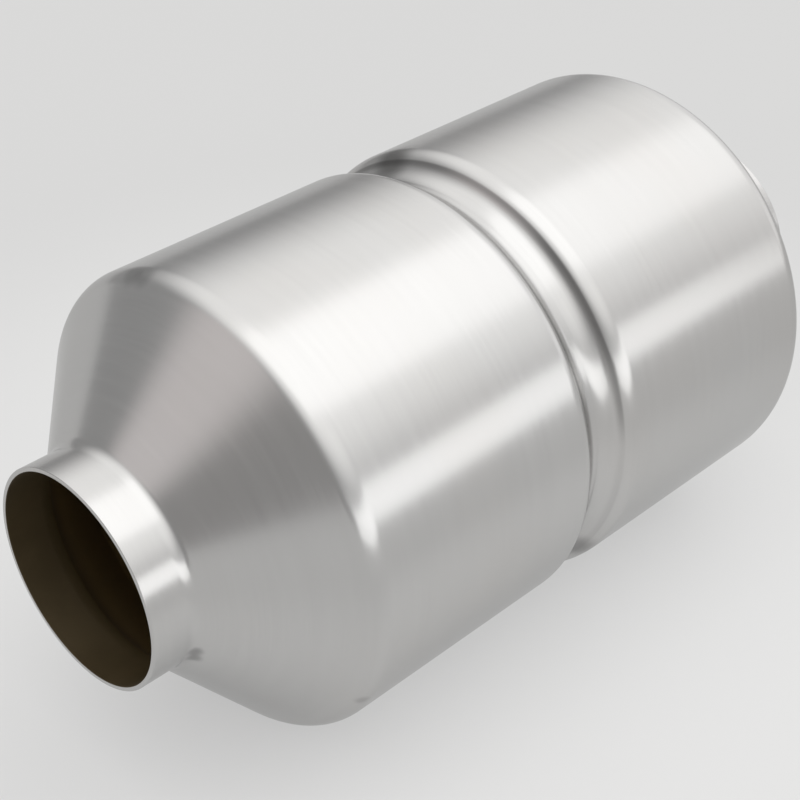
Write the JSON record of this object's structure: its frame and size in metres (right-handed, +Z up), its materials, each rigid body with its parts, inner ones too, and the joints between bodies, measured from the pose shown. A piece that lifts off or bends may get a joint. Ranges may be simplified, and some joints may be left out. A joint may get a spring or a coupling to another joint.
{
  "type": "catalytic converter",
  "caption": "Round spun stainless catalytic converter with short slip-on necks, steep cones, a rolled waist groove and honeycomb bricks held in fibre mats inside.",
  "frame": {"origin": "on the converter's axis, halfway between the mouths of its two necks", "axes": "+X along the axis, the way the exhaust gas flows, from the inlet neck to the outlet neck; +Z up"},
  "size_m": [0.2752, 0.1414, 0.1414],
  "materials": {
    "spun_steel": "satin, spun",
    "coated_ceramic": "matt washcoat",
    "fibre_mat": "felted ceramic fibre",
    "knitted_wire": "knitted wire, pressed"
  },
  "bodies": {
    "root": {"housing": "spun_steel", "front_brick": "coated_ceramic", "rear_brick": "coated_ceramic", "front_mat": "fibre_mat", "rear_mat": "fibre_mat", "inlet_seal": "knitted_wire", "front_inner_seal": "knitted_wire", "rear_inner_seal": "knitted_wire", "outlet_seal": "knitted_wire"}
  },
  "joints": []
}
